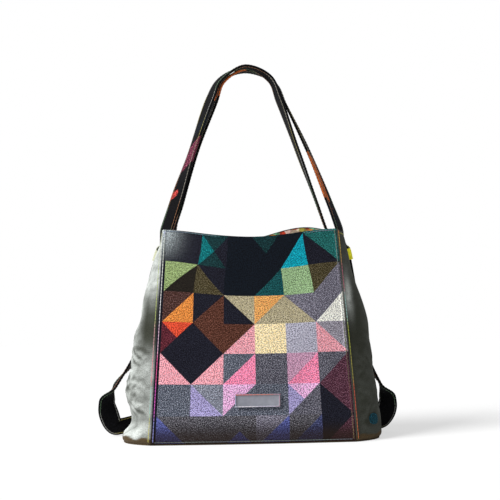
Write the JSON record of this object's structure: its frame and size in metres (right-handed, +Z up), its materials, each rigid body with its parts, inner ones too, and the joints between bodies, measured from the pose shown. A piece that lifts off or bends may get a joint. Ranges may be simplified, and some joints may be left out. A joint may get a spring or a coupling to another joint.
{
  "type": "patchwork shoulder bag",
  "caption": "Soft open-topped shoulder bag standing upright, with a patchwork front, folding canvas sides, a printed lining and long cloth straps that meet over the mouth as a handle.",
  "frame": {"origin": "middle of the base, on the surface that the bag stands on", "axes": "+Z up, +X to the right as seen from the front, and the front faces -Y"},
  "size_m": [0.4707, 0.1403, 0.5774],
  "materials": {
    "patchwork": "heathered woven cloth",
    "back_cloth": "heathered woven cloth",
    "canvas": "washed canvas",
    "lining_print": "printed cotton",
    "strap_cloth": "stitched woven cloth",
    "keeper_cloth": "plain woven cloth",
    "plate": "bare, with a raised rim"
  },
  "bodies": {
    "root": {"front_panel": "patchwork", "back_panel": "back_cloth", "left_gusset": "canvas", "right_gusset": "canvas", "base_panel": "canvas", "lining": "lining_print", "left_strap": "strap_cloth", "right_strap": "strap_cloth", "left_keeper": "keeper_cloth", "right_keeper": "keeper_cloth", "front_plate": "plate"}
  },
  "joints": []
}
